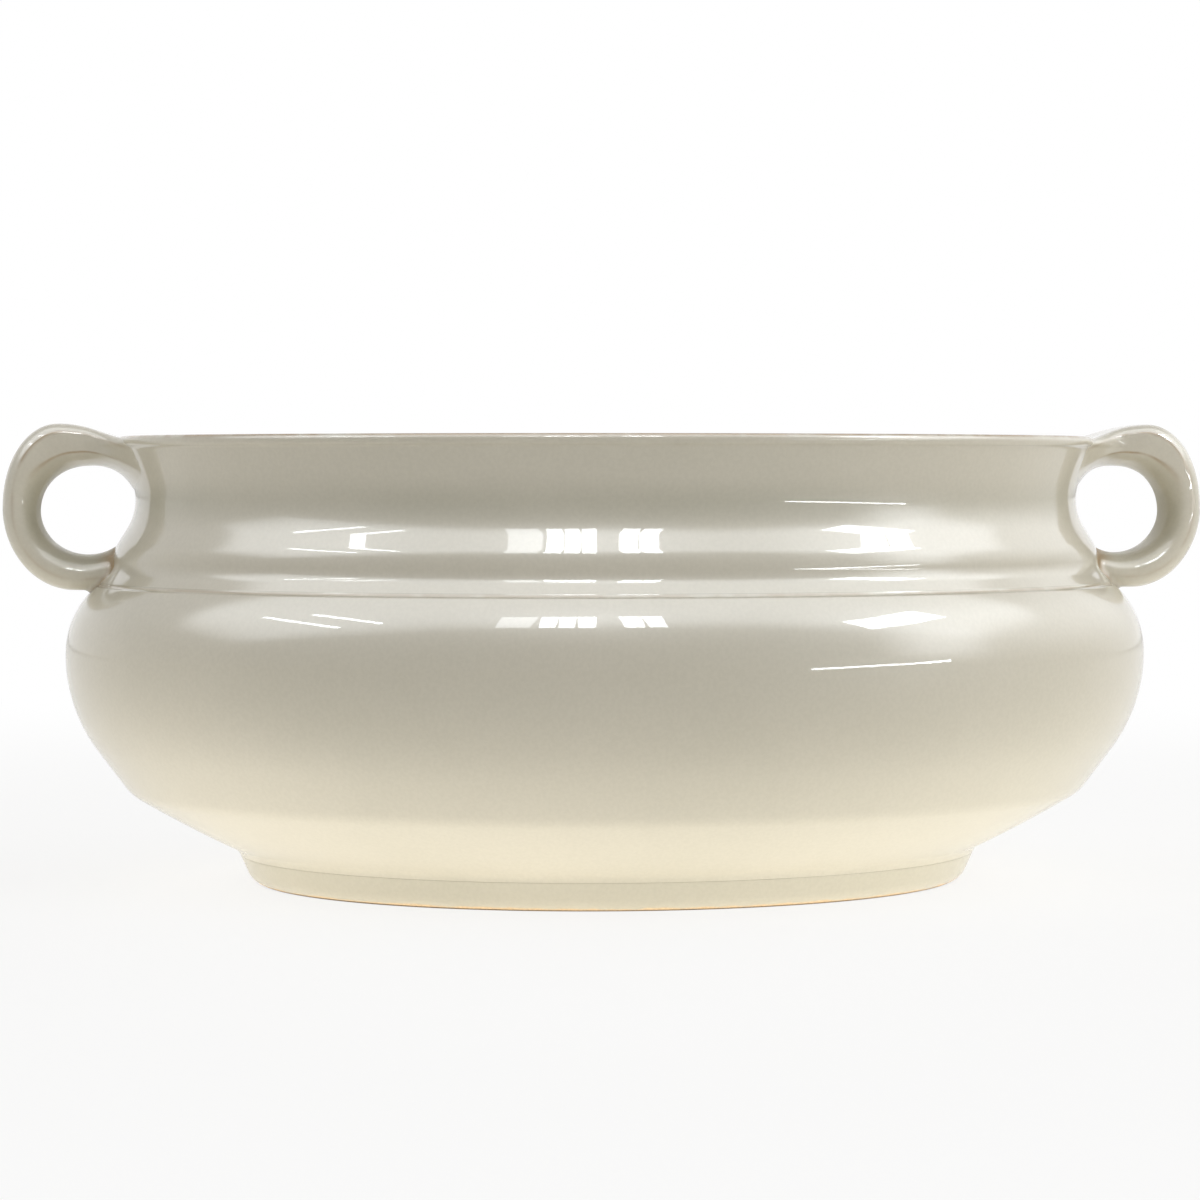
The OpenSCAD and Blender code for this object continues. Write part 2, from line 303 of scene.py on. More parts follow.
def bend(line, reach=1.5 * MM):
    """How much a line bends round each point, in radians per metre, more than zero on an edge."""
    line = np.array(line)
    legs = np.diff(line, axis=0)
    lengths = np.linalg.norm(legs, axis=1)
    way = np.unwrap(np.arctan2(legs[:, 1], legs[:, 0]))
    places = np.concatenate([[0], np.cumsum(lengths)])
    middles = (places[1:] + places[:-1]) / 2
    ahead = np.interp(places + reach, middles, way)
    behind = np.interp(places - reach, middles, way)
    return (ahead - behind) / (2 * reach)


def eased(values, low, high):
    """Zero under low, one over high, and a soft step between."""
    t = np.clip((np.asarray(values) - low) / (high - low), 0, 1)
    return t * t * (3 - 2 * t)


def swell(values, middle, spread):
    """One at the middle, falling off to both sides."""
    return np.exp(-(((values - middle) / spread) ** 2))


# Where the glaze of bowl and foot is thin or gathers, and where shade is painted into the bowl's neck
HOLLOW_BENDS = (170, 500)  # Bends, in radians per metre, between which a hollow fills with glaze
NECK_POOL_AND_SHADE = 0.75  # How much darker the neck's hollow is: glaze that collects there, and painted shade
NECK_POOL_AND_SHADE_DROP = 0.5 * MM  # How far below the neck the most of it is
LIP_CORE = 0.3  # Share of the lip's reach where the glaze is thinnest
BOWL_LIP_REACH = 1.4  # How far from the lip's top the bowl's glaze is thin, in lip radiuses
GROOVE_THIN = 0.5  # How thin the glaze is in the groove
GROOVE_REACH = 1.2 * MM  # How far off the groove it is thin


class TurnedForm:
    """Centres and outlines of the bowl and its foot."""

    def __init__(self, s):
        self.s = s
        half = s.belly_len / 2
        self.share = s.belly_dep / s.belly_len
        self.inner_share = (s.belly_dep - 2 * s.wall) / (s.belly_len - 2 * s.wall)
        self.shoulder = (half - s.shoulder_r, s.belly_z)
        self.belly = (half - s.belly_r, s.belly_z)
        self.groove = away(self.shoulder, s.shoulder_r, s.shoulder_turn)
        self.fascia = (self.groove[0] - s.band_run, self.groove[1] + s.band_rise)
        self.roll = (self.fascia[0] - s.roll_r, self.fascia[1] + s.fascia_h)
        self.neck_a = self.fascia[0] - s.neck_in
        slope_h = s.neck_share * (s.bowl_h - self.roll[1])
        slope_run = s.roll_r + s.neck_r - s.neck_in
        reach = math.asin((s.roll_r + s.neck_r) / math.hypot(slope_run, slope_h))
        self.slope_turn = reach - math.atan2(slope_run, slope_h)
        self.neck = (self.neck_a + s.neck_r, self.roll[1] + slope_h)
        self.flare = away(self.neck, s.flare_r - s.neck_r, -s.past_neck_turn)
        lip_z = s.bowl_h - s.lip_r
        self.lip = (left_side(self.flare, s.flare_r, lip_z) + s.lip_out - s.lip_r, lip_z)
        rim_z = s.bowl_h - s.rim_edge_r
        self.rim = (left_side(self.flare, s.flare_r + s.wall - s.rim_edge_r, rim_z), rim_z)
        belly_end = away(self.belly, s.belly_r, -s.belly_turn)
        self.crease = away(belly_end, s.crease_run, -s.belly_turn - QUARTER)
        self.foot_a = s.foot_len / 2
        self.cove = away((self.foot_a, s.foot_h), s.foot_cove_r, -s.foot_turn)
        self.under = meeting(self.crease, s.under_r, self.cove, s.under_r + s.foot_cove_r)
        self.floor_z = s.foot_h + s.recess_h + s.floor_t

    def lower_line(self, depth, start):
        """From a direction under the bowl up to its widest line, this deep inside its face."""
        s = self.s
        straight = -s.belly_turn - QUARTER
        belly_r = s.belly_r - depth
        end = away(self.belly, belly_r, -s.belly_turn)
        corner = run_to_circle(end, straight, self.under, s.under_r - depth)
        turn = heading(self.under, corner)
        crease = rounded(corner, turn - QUARTER, straight + math.pi, s.crease_r)
        under = arc(self.under, s.under_r - depth, start, turn, 20)
        under = [p for p in under if p[0] < crease[0][0]]
        return under + crease + arc(self.belly, belly_r, -s.belly_turn, 0, 28)

    def outer_line(self):
        """The outside, from the foot joint up to the top of the lip."""
        s = self.s
        band = heading(self.groove, self.fascia)
        outward = (s.shoulder_turn + band - QUARTER) / 2
        half_turn = math.acos(1 - s.groove_depth / s.groove_r)
        notch = s.groove_r * math.sin(half_turn) / s.shoulder_r
        over = away(self.groove, s.groove_r - s.groove_depth, outward)
        under_start = heading(self.under, self.cove)
        past_neck = math.pi - s.past_neck_turn
        under_lip = meeting(self.lip, s.lip_r, self.flare, s.flare_r)
        flare_end = math.tau + heading(self.flare, under_lip)
        line = arc(self.cove, s.foot_cove_r, math.pi - s.foot_turn, under_start + math.pi, 14)
        line += self.lower_line(0, under_start)
        line += arc(self.shoulder, s.shoulder_r, 0, s.shoulder_turn - notch, 32)
        line += arc(over, s.groove_r, outward - math.pi + half_turn, outward - math.pi - half_turn, 8)
        line += rounded(self.fascia, band + math.pi, QUARTER, s.band_edge_r, 12)
        line += arc(self.roll, s.roll_r, 0, self.slope_turn, 12)
        line += arc(self.neck, s.neck_r, math.pi + self.slope_turn, past_neck, 16)
        line += arc(self.flare, s.flare_r, past_neck, flare_end % math.tau, 14)
        line += arc(self.lip, s.lip_r, heading(self.lip, under_lip), QUARTER, 14)
        return line

    def inner_line(self):
        """The inside, from the top of the rim down to the middle of the floor."""
        s = self.s
        low_r = s.shoulder_r - s.wall
        high_r = s.neck_r + s.wall
        lean = math.acos((low_r + high_r) / math.dist(self.shoulder, self.neck))
        turn = heading(self.shoulder, self.neck) - lean
        rim_turn = heading(self.flare, self.rim) % math.tau
        past_neck = math.pi - s.past_neck_turn
        start = -math.asin((self.under[1] - self.floor_z) / (s.under_r - s.wall))
        lower = self.lower_line(s.wall, start)
        edge = rounded(lower[0], start + QUARTER, math.pi, s.floor_edge_r, 10)
        line = arc(self.rim, s.rim_edge_r, QUARTER, rim_turn, 10)
        line += arc(self.flare, s.flare_r + s.wall, rim_turn, past_neck, 14)
        line += arc(self.neck, high_r, past_neck, math.pi + turn, 16)
        line += arc(self.shoulder, low_r, turn, 0, 24)
        line += [p for p in reversed(lower) if p[0] > edge[0][0]]
        return line + edge + [(0, self.floor_z)]

    def seat_line(self):
        """The underside, from the middle of the recess out to the foot joint."""
        s = self.s
        seat = self.foot_a - s.foot_w
        recess = s.foot_h + s.recess_h
        line = [(0, recess)]
        line += rounded((seat, recess), math.pi, -QUARTER, s.recess_h / 2)
        line.append((seat, s.foot_h))
        joint = (self.foot_a, s.foot_h)
        return line + rounded(joint, math.pi, QUARTER - s.foot_turn, s.joint_r)

    def bowl_outline(self):
        """The bowl's cross-section from axis to axis, and how deep the oval is at each point."""
        joint_z = self.s.foot_h + 2 * self.s.joint_r
        outside = self.seat_line() + [p for p in self.outer_line() if p[1] > joint_z]
        outside = supported(outside)
        inside = supported(self.inner_line())
        return outside + inside, [self.share] * len(outside) + [self.inner_share] * len(inside)

    def foot_outline(self):
        """The foot ring's cross-section, cut off level with the table."""
        s = self.s
        inner_top = (self.foot_a - s.foot_w, s.foot_h)
        inner_low = (inner_top[0] + s.foot_lean, -s.foot_grind)
        drop = s.foot_h + s.foot_grind
        outer_top = (self.foot_a, s.foot_h)
        outer_low = (self.foot_a - drop * math.tan(s.foot_turn), -s.foot_grind)
        outer_way = heading(outer_low, outer_top)
        inner_way = heading(inner_low, inner_top)
        line = rounded(inner_low, inner_way, 0, s.foot_inner_r, 10)
        line += rounded(outer_low, math.pi, outer_way, s.foot_edge_r, 20)
        line += rounded(outer_top, outer_way + math.pi, math.pi, s.joint_r)
        line.append(inner_top)
        line = [(a, max(z, 0)) for a, z in line]
        return supported(line + line[:1])

    def outside_at(self):
        """Half lengths of the outside, for any height from the belly up."""
        line = np.array([p for p in self.outer_line() if p[1] > self.s.belly_z])
        order = np.argsort(line[:, 1])
        return line[order, 1], line[order, 0]

    def marks(self, line, lip_reach):
        """Thin glaze on the lip and in the groove, glaze that collects in the hollows of a line, and
        painted shade with collected glaze at the neck's hollow.
        """
        line = np.array(line)
        hollow = eased(-bend(line), *HOLLOW_BENDS)
        # Painted shade in the neck's hollow, over glaze that collects there.
        neck = NECK_POOL_AND_SHADE * swell(line[:, 1], self.neck[1] - NECK_POOL_AND_SHADE_DROP, self.s.neck_pool_and_shade)
        from_lip = np.hypot(line[:, 0] - self.lip[0], line[:, 1] - self.s.bowl_h)
        lip = 1 - eased(from_lip, LIP_CORE * lip_reach, lip_reach)
        from_groove = np.hypot(line[:, 0] - self.groove[0], line[:, 1] - self.groove[1])
        groove = GROOVE_THIN * (1 - eased(from_groove, 0, GROOVE_REACH))
        return {"thin": np.maximum(lip, groove), "pool": np.maximum(hollow, neck)}


# Geometry Nodes tree that turns a cross-section into an oval

MERGE_DISTANCE = 0.002 * MM


def node(tree, kind, links=None, **settings):
    """Adds a node, makes its settings and links or fills its inputs."""
    made = tree.nodes.new(kind)
    for name, value in settings.items():
        setattr(made, name, value)
    for socket, value in (links or {}).items():
        if isinstance(value, bpy.types.NodeSocket):
            tree.links.new(value, made.inputs[socket])
        else:
            made.inputs[socket].default_value = value
    return made


def math_node(tree, operation, *values):
    """A Math node's result."""
    made = node(tree, "ShaderNodeMath", dict(enumerate(values)), operation=operation)
    return made.outputs[0]


def oval_turner():
    """Tree: carries a cross-section round an oval, closes it at the axis and gives it a glaze."""
    tree = bpy.data.node_groups.new("oval turner", "GeometryNodeTree")
    face = tree.interface
    face.new_socket(name="Geometry", in_out="INPUT", socket_type="NodeSocketGeometry")
    face.new_socket(name="Steps", in_out="INPUT", socket_type="NodeSocketInt")
    face.new_socket(name="Merge Distance", in_out="INPUT", socket_type="NodeSocketFloat")
    face.new_socket(name="Glaze", in_out="INPUT", socket_type="NodeSocketMaterial")
    face.new_socket(name="Geometry", in_out="OUTPUT", socket_type="NodeSocketGeometry")
    given = tree.nodes.new("NodeGroupInput").outputs

    def stored(name):
        made = node(tree, "GeometryNodeInputNamedAttribute", {"Name": name}, data_type="FLOAT")
        return made.outputs["Attribute"]

    section = node(tree, "GeometryNodeMeshToCurve", {"Mesh": given["Geometry"]})
    circle = node(tree, "GeometryNodeCurvePrimitiveCircle", {"Resolution": given["Steps"]})
    index = tree.nodes.new("GeometryNodeInputIndex").outputs[0]
    share = math_node(tree, "DIVIDE", index, given["Steps"])
    turn = math_node(tree, "MULTIPLY", share, math.tau)
    marked = node(
        tree, "GeometryNodeStoreNamedAttribute",
        {"Geometry": circle.outputs["Curve"], "Name": "turn", "Value": turn},
        data_type="FLOAT", domain="POINT",
    )
    skin = node(
        tree, "GeometryNodeCurveToMesh",
        {"Curve": section.outputs["Curve"], "Profile Curve": marked.outputs["Geometry"]},
    )
    x = math_node(tree, "MULTIPLY", stored("half_len"), math_node(tree, "COSINE", stored("turn")))
    y = math_node(tree, "MULTIPLY", stored("half_dep"), math_node(tree, "SINE", stored("turn")))
    place = node(tree, "ShaderNodeCombineXYZ", {"X": x, "Y": y, "Z": stored("height")})
    placed = node(
        tree, "GeometryNodeSetPosition",
        {"Geometry": skin.outputs["Mesh"], "Position": place.outputs["Vector"]},
    )
    closed = node(
        tree, "GeometryNodeMergeByDistance",
        {"Geometry": placed.outputs["Geometry"], "Distance": given["Merge Distance"]},
    )
    smooth = node(tree, "GeometryNodeSetShadeSmooth", {"Geometry": closed.outputs["Geometry"]})
    real = node(tree, "GeometryNodeRealizeInstances", {"Geometry": smooth.outputs["Geometry"]})
    glazed = node(
        tree, "GeometryNodeSetMaterial",
        {"Geometry": real.outputs["Geometry"], "Material": given["Glaze"]},
    )
    node(tree, "NodeGroupOutput", {"Geometry": glazed.outputs["Geometry"]})
    return tree


def turned_piece(name, line, shares, marks, material, steps):
    """Turns a cross-section into a plain mesh object. Marks are values kept along the section."""
    mesh = bpy.data.meshes.new(name + "_section")
    edges = [(i, i + 1) for i in range(len(line) - 1)]
    if line[0] == line[-1]:
        line, shares = line[:-1], shares[:-1]
        marks = {key: values[:-1] for key, values in marks.items()}
        edges[-1] = (len(line) - 1, 0)
    mesh.from_pydata([(a, 0, z) for a, z in line], edges, [])
    halves = np.array(line)
    kept = {"half_len": halves[:, 0], "half_dep": halves[:, 0] * shares, "height": halves[:, 1]}
    for key, values in (kept | marks).items():
        attribute = mesh.attributes.new(key, "FLOAT", "POINT")
        attribute.data.foreach_set("value", np.asarray(values, dtype=np.float32))
    section = bpy.data.objects.new(name + "_section", mesh)
    bpy.context.scene.collection.objects.link(section)
    turner = section.modifiers.new("oval turner", "NODES")
    turner.node_group = bpy.data.node_groups.get("oval turner") or oval_turner()
    sockets = {s.name: s.identifier for s in turner.node_group.interface.items_tree}
    turner[sockets["Steps"]] = steps
    turner[sockets["Merge Distance"]] = MERGE_DISTANCE
    turner[sockets["Glaze"]] = material
    found = section.evaluated_get(bpy.context.evaluated_depsgraph_get())
    made = bpy.data.meshes.new_from_object(found)
    section.modifiers.remove(turner)
    bpy.data.objects.remove(section)
    bpy.data.meshes.remove(mesh)
    for key in [*kept, "turn"]:
        if key in made.attributes:
            made.attributes.remove(made.attributes[key])
    return finished(name, made, material)


def finished(name, mesh, material):
    """Links a mesh as a piece with its faces outward."""
    mesh.name = name
    if signed_volume(mesh) < 0:
        mesh.flip_normals()
    mesh.shade_smooth()
    if not mesh.materials:
        mesh.materials.append(material)
    piece = bpy.data.objects.new(name, mesh)
    bpy.context.scene.collection.objects.link(piece)
    return piece


def signed_volume(mesh):
    """Volume inside a closed mesh, less than zero where its faces look inward."""
    mesh.calc_loop_triangles()
    corners = np.empty(len(mesh.loop_triangles) * 3, dtype=np.int32)
    mesh.loop_triangles.foreach_get("vertices", corners)
    places = np.empty(len(mesh.vertices) * 3)
    mesh.vertices.foreach_get("co", places)
    a, b, c = np.moveaxis(places.reshape(-1, 3)[corners.reshape(-1, 3)], 1, 0)
    return float(np.einsum("ij,ij->i", a, np.cross(b, c)).sum() / 6)


# Strap handle

class Strap:
    """Lines of one strap handle, as pairs of X and height, and its sections.

    A turn is a way round the finger hole: 0 at the tip, a quarter turn over the hole. A facing is the
    way that a section's rounding looks: 0 outward, a half turn towards the hole.
    """

    UPPER_TURNS = (0.15 * math.pi, 0.4 * math.pi)  # Between which the strap takes its upper shape
    BENT_ENDS = (0.6, 0.95)  # Shares of the upper end's turn between which it bends to the collar
    HOLE_FACINGS = (0.45 * math.pi, 0.8 * math.pi)  # Between which the hole's side begins
    OUTER_ARRIS = (0.42 * math.pi, 0.12)  # Facing and spread of the brown line on the outside
    HOLE_ARRIS = (0.6 * math.pi, 0.16)  # The same on the hole's side
    FAINT = 0.3  # What is left of the outer brown line and of the crevice where they are weakest
    UNDER_POOL_AND_SHADE = 0.8  # Glaze that collects, and painted shade, on the hole's side under the hole, by that at the tip
    INNER_SINK = 0.3  # How far the hole's side goes into the wall, by the outside
    END_SECTIONS = 12  # Sections in the wall at the upper end

    def __init__(self, h, form):
        self.h, self.form = h, form
        bowl_h = form.s.bowl_h
        self.hole = (form.fascia[0] - h.hole_in + h.loop_w / 2, h.hole_z)
        self.tip = (self.hole[0] + h.loop_w / 2 + h.strap_t, self.hole[1] + h.tip_lift)
        self.crest = (self.tip[0] - h.crest_run, self.hole[1] + h.loop_h / 2 + h.strap_top_t)
        self.low = (self.tip[0] - h.under_run, self.hole[1] - h.loop_h / 2 - h.strap_under_t)
        self.root = (form.lip[0], bowl_h - h.root_drop)

    def hole_edge(self, turn):
        """Point on the edge of the finger hole, which fills its upper inner corner a little."""
        h = self.h
        full = 1 + h.hole_corner * max(0, -math.sin(2 * turn)) * (turn > QUARTER)
        way = np.array([h.loop_w * math.cos(turn), h.loop_h * math.sin(turn)])
        return np.add(self.hole, way * full / 2)

    def outer_edge(self, turn):
        """Outer line: from the lip over the crest, round the tip and under to the shoulder."""
        h, tip, crest, low = self.h, self.tip, self.crest, self.low
        if turn > QUARTER:
            s = (turn - QUARTER) / (h.upper_turn - QUARTER)
            leans = [
                crest, (crest[0] - h.crest_lead, crest[1]),
                (self.root[0] + h.root_run, self.root[1] + h.root_rise), self.root,
            ]
            weights = [math.comb(3, k) * s**k * (1 - s) ** (3 - k) for k in range(4)]
            return np.sum([np.multiply(p, w) for p, w in zip(leans, weights)], axis=0)
        if turn > -QUARTER:
            end = crest if turn > 0 else low
            across = end[0] + (tip[0] - end[0]) * math.cos(turn)
            return np.array([across, tip[1] + (end[1] - tip[1]) * abs(math.sin(turn))])
        s = (turn + QUARTER) / (h.lower_turn + QUARTER)
        return np.array([low[0] - (low[0] - self.form.groove[0] + h.low_depth) * s, low[1]])

    def half_width(self, turn):
        """Half the strap's width, which grows towards the lip."""
        h = self.h
        past = max(0, turn - QUARTER) / (h.upper_turn - QUARTER)
        return h.strap_w / 2 + h.root_flare * past**3

    def above(self, turn):
        """One over the hole and on to the collar, zero round the tip and below."""
        return float(eased(turn, *self.UPPER_TURNS))

    def section(self, turn, thick, half):
        """One rounded section round its middle, as pairs of outward and sideways places.

        With each point comes the direction that its rounding faces, 0 outward and a half turn inward.
        """
        h = self.h
        outer_share = np.interp(math.sin(turn), (0, 1), (h.edge_share, h.top_edge_share))
        hole_share = np.interp(self.above(turn), (0, 1), (h.hole_edge_share, h.hole_top_share))
        outer_r, hole_r = thick * outer_share, thick * hole_share
        corners = [(1, 1, outer_r), (1, -1, outer_r), (-1, -1, hole_r), (-1, 1, hole_r)]
        points, faces = [], []
        for k, (out, side, r) in enumerate(corners):
            centre = (out * (thick / 2 - r), side * (half - r))
            first = QUARTER * (1 - k)
            turns = np.linspace(first, first - QUARTER, h.edge_steps + 1)
            points += [away(centre, r, t) for t in turns]
            faces += [abs(math.remainder(t, math.tau)) for t in turns]
            out, side, r = corners[(k + 1) % 4]
            end = away((out * (thick / 2 - r), side * (half - r)), r, first - QUARTER)
            shares = np.linspace(0, 1, h.face_steps + 1)[1:-1]
            start = points[-1]
            points += [tuple(np.add(start, np.subtract(end, start) * part)) for part in shares]
            faces += [faces[-1]] * len(shares)
        return np.array(points), np.array(faces)

    def stray(self, turn):
        """How far the hand-pulled strap strays to its side: two waves that fade towards its ends."""
        waves = (math.sin(3 * turn + 1) + math.sin(7 * turn)) / 2
        return self.h.wobble * waves * math.cos(turn / 2)

    def stations(self):
        """Hole side, outer side, turn and half width of every section, from lip to shoulder."""
        h = self.h
        inward = np.array([h.root_depth, 0])
        wide = self.half_width(h.upper_turn)
        rows = []
        for share in np.linspace(1, 0, self.END_SECTIONS, endpoint=False):
            turn = h.upper_turn + (h.inner_turn - h.upper_turn) * share
            outer = self.outer_edge(h.upper_turn) - inward * share - (0, h.root_sink * share)
            inner = self.hole_edge(turn) - self.INNER_SINK * inward * share
            rows.append((inner, outer, turn, wide))
        for turn in np.linspace(h.upper_turn, h.lower_turn, h.steps):
            rows.append((self.hole_edge(turn), self.outer_edge(turn), turn, self.half_width(turn)))
        inner, outer, turn, wide = rows[-1]
        rows.append((inner - (h.low_depth, 0), outer, turn, wide))
        return rows

    def ring(self, inner, outer, turn, wide):
        """Points of one section in space, with their marks for thin and pooled glaze."""
        h, share = self.h, self.form.share
        thick = math.dist(inner, outer)
        way = np.subtract(outer, inner) / thick
        flat, faces = self.section(turn, thick, wide)
        out, side = flat.T
        hole_rise = h.hole_crown + (h.hole_top_crown - h.hole_crown) * self.above(turn)
        rise = np.where(out < 0, hole_rise, h.crown)
        out = out - rise * (2 * out / thick) * (side / wide) ** 2
        side = side - h.crown * (side / wide) * (2 * out / thick) ** 2
        side = side + self.stray(turn)
        middle = np.add(inner, outer) / 2
        points = np.c_[middle[0] + way[0] * out, side, middle[1] + way[1] * out]
        radius = h.upper_fillet if turn > 0 else h.lower_fillet
        gap = self.gap(self.wrapped(points, turn))
        spread = radius - np.sqrt(radius**2 - np.clip(radius - gap, 0, radius) ** 2)
        points[:, 1] += np.sign(side) * spread * (side / wide) ** 2
        if turn < 0:
            points[:, 2] -= np.where(out > 0, spread, 0)
        return self.wrapped(points, turn), *self.marks(turn, faces, gap, spread / radius)

    def marks(self, turn, faces, gap, near):
        """Thin glaze round a section, and glaze that collects in the low joint and on the hole's
        side, where shade is painted too. Near is one where the strap meets the bowl.
        """
        low, over = turn < 0, max(0, math.sin(turn))
        inside = eased(faces, *self.HOLE_FACINGS)
        under = max(0, math.cos(turn), -self.UNDER_POOL_AND_SHADE * math.sin(turn))
        arris = swell(faces, *self.OUTER_ARRIS) * (self.FAINT + (1 - self.FAINT) * over)
        arris += swell(faces, *self.HOLE_ARRIS) * over**2
        reach = self.h.crevice_reach * (self.FAINT + (1 - self.FAINT) * inside)
        crevice = (1 - eased(gap, 0, reach)) * low
        thin = np.clip(arris * (1 - near) + crevice, 0, 1)
        # The hole's side is darkened with painted shade as well as glaze that collects there.
        return thin, np.clip(near * low + inside * under, 0, 1)

    def wrapped(self, points, turn):
        """The same points, bent round the collar towards the strap's ends."""
        neck_a = self.form.neck_a
        fall = 1 - np.sqrt(1 - (points[:, 1] / (neck_a * self.form.share)) ** 2)
        near_end = eased(abs(turn), *(part * self.h.upper_turn for part in self.BENT_ENDS))
        return points - np.outer(near_end * neck_a * fall, (1, 0, 0))

    def gap(self, points):
        """How far points are off the bowl."""
        heights, halves = self.form.outside_at()
        level = np.minimum(points[:, 2], self.form.lip[1])
        out = np.hypot(points[:, 0], points[:, 1] / self.form.share)
        return np.maximum(out - np.interp(level, heights, halves), 0)


def handle_piece(name, strap, side, material):
    """The strap as one closed piece, on the right for side 1 and on the left for side -1."""
    stations = strap.stations()
    rings = [strap.ring(*row) for row in stations]
    n = len(rings[0][0])
    ends = []
    for k in (0, -1):
        inner, outer = stations[k][:2]
        around = rings[k][0]
        middle = (around.max(axis=0) + around.min(axis=0)) / 2
        middle[0] = (inner[0] + outer[0]) / 2
        ends.append(middle)
    points = np.vstack([*(ring[0] for ring in rings), *ends]) * (side, 1, 1)
    last = (len(rings) - 1) * n
    faces = [(last + n, i, (i + 1) % n) for i in range(n)]
    faces += [(last + n + 1, last + (i + 1) % n, last + i) for i in range(n)]
    for k in range(len(rings) - 1):
        for i in range(n):
            j = (i + 1) % n
            faces.append((k * n + i, (k + 1) * n + i, (k + 1) * n + j, k * n + j))
    mesh = bpy.data.meshes.new(name)
    mesh.from_pydata(points.tolist(), [], faces)
    for k, key in enumerate(("thin", "pool"), start=1):
        attribute = mesh.attributes.new(key, "FLOAT", "POINT")
        values = np.concatenate([*(ring[k] for ring in rings), (0, 0)])
        attribute.data.foreach_set("value", values.astype(np.float32))
    return finished(name, mesh, material)


# Glaze and clay

# How fine the patterns are, in cells to the metre
CLOUDS = 11
RIPPLES = 38
PINHOLE_PATCHES = 60
STREAKS = 75
CLAY_EDGE = 160
PINHOLES = 420
GRAIN = 900
CLAY_GRAIN = 1400

# How strong they are
POOL_AND_SHADE_COVER = 0.7
HAZE = 0.16
DARK_GRAIN = (0.975, 0.975, 0.97, 1)
LIGHT_GRAIN = (1.015, 1.015, 1.015, 1)
PIT_DEPTH = 0.6
GLAZE_ROUGHNESS = (0.3, 0.42)
DULL_ROUGHNESS = 0.4
CLAY_ROUGHNESS = 0.85
DARK_CLAY = (0.7, 0.7, 0.7, 1)
LIGHT_CLAY = (1.2, 1.2, 1.2, 1)
CLAY_STRAY = 1.6 * MM
CLAY_LEVELS = (-0.3 * MM, 0.5 * MM)


def shader_group(name, inputs, outputs):
    """An empty shader group with named sockets, and its two ends."""
    tree = bpy.data.node_groups.new(name, "ShaderNodeTree")
    for kind, sockets in (("INPUT", inputs), ("OUTPUT", outputs)):
        for label, type_name in sockets.items():
            tree.interface.new_socket(name=label, in_out=kind, socket_type="NodeSocket" + type_name)
    return tree, tree.nodes.new("NodeGroupInput").outputs, tree.nodes.new("NodeGroupOutput").inputs


def step_node(tree, value, low, high):
    """A soft step from 0 at low to 1 at high."""
    made = node(
        tree, "ShaderNodeMapRange", {"Value": value, "From Min": low, "From Max": high},
        interpolation_type="SMOOTHSTEP",
    )
    return made.outputs["Result"]


def noise_node(tree, scale, detail, place):
    """Soft noise with this many cells to the metre."""
    made = node(tree, "ShaderNodeTexNoise", {"Vector": place, "Scale": scale, "Detail": detail})
    return made.outputs["Fac"]


def mix_node(tree, factor, a, b, blend="MIX"):
    """Two colours mixed."""
    made = node(tree, "ShaderNodeMix", {0: factor, 6: a, 7: b}, data_type="RGBA", blend_type=blend)
    return made.outputs[2]


def mark_node(tree, name):
    """What is kept on the piece under this name."""
    return node(tree, "ShaderNodeAttribute", attribute_name=name).outputs["Fac"]


def glaze_group():
    """Clouded glaze: gathers in hollows, and carries painted shade at the bowl's neck and on the
    handles' hole sides in the same darker colour, breaks brown on edges, and has pinholes there.
    """
    tree, given, result = shader_group(
        "clouded glaze",
        {"Glaze": "Color", "Pooled": "Color", "Thin": "Color", "Dulling": "Float"},
        {"Color": "Color", "Roughness": "Float", "Coat": "Float", "Height": "Float"},
    )
    place = tree.nodes.new("ShaderNodeTexCoord").outputs["Object"]
    pool = mark_node(tree, "pool")
    edge = mark_node(tree, "thin")

    cloud = noise_node(tree, CLOUDS, 4, place)
    # The darker colour here is glaze that collects in hollows, and painted shade at the bowl's neck
    # and round the handles' holes.
    gathered = math_node(tree, "MULTIPLY", pool, step_node(tree, cloud, 0.1, 0.6))
    cover = math_node(tree, "MULTIPLY", gathered, POOL_AND_SHADE_COVER)
    haze = math_node(tree, "MULTIPLY", step_node(tree, cloud, 0.35, 0.75), HAZE)
    veil = math_node(tree, "MAXIMUM", cover, haze)
    base = mix_node(tree, veil, given["Glaze"], given["Pooled"])

    speck = step_node(tree, noise_node(tree, GRAIN, 2, place), 0.3, 0.7)
    shade = mix_node(tree, speck, DARK_GRAIN, LIGHT_GRAIN)
    base = mix_node(tree, 1.0, base, shade, "MULTIPLY")

    streak = step_node(tree, noise_node(tree, STREAKS, 3, place), 0.3, 0.55)
    broken = math_node(tree, "MULTIPLY", edge, streak)
    base = mix_node(tree, broken, base, given["Thin"])

    cells = node(tree, "ShaderNodeTexVoronoi", {"Vector": place, "Scale": PINHOLES, "Randomness": 1})
    dot = math_node(tree, "SUBTRACT", 1, step_node(tree, cells.outputs["Distance"], 0.14, 0.26))
    patch = step_node(tree, noise_node(tree, PINHOLE_PATCHES, 1, place), 0.5, 0.6)
    dots = math_node(tree, "MULTIPLY", dot, patch)
    pinhole = math_node(tree, "MULTIPLY", dots, step_node(tree, edge, 0.55, 0.9))
    tree.links.new(mix_node(tree, pinhole, base, given["Thin"]), result["Color"])

    low, high = GLAZE_ROUGHNESS
    rough = node(tree, "ShaderNodeMapRange", {"Value": cloud, "To Min": low, "To Max": high})
    dull = math_node(tree, "MULTIPLY", pool, given["Dulling"])
    added = math_node(tree, "MULTIPLY", dull, DULL_ROUGHNESS)
    tree.links.new(math_node(tree, "ADD", rough.outputs["Result"], added), result["Roughness"])
    tree.links.new(math_node(tree, "SUBTRACT", 1, dull), result["Coat"])

    ripple = noise_node(tree, RIPPLES, 1, place)
    pit = math_node(tree, "MULTIPLY", pinhole, PIT_DEPTH)
    tree.links.new(math_node(tree, "SUBTRACT", ripple, pit), result["Height"])
    return tree


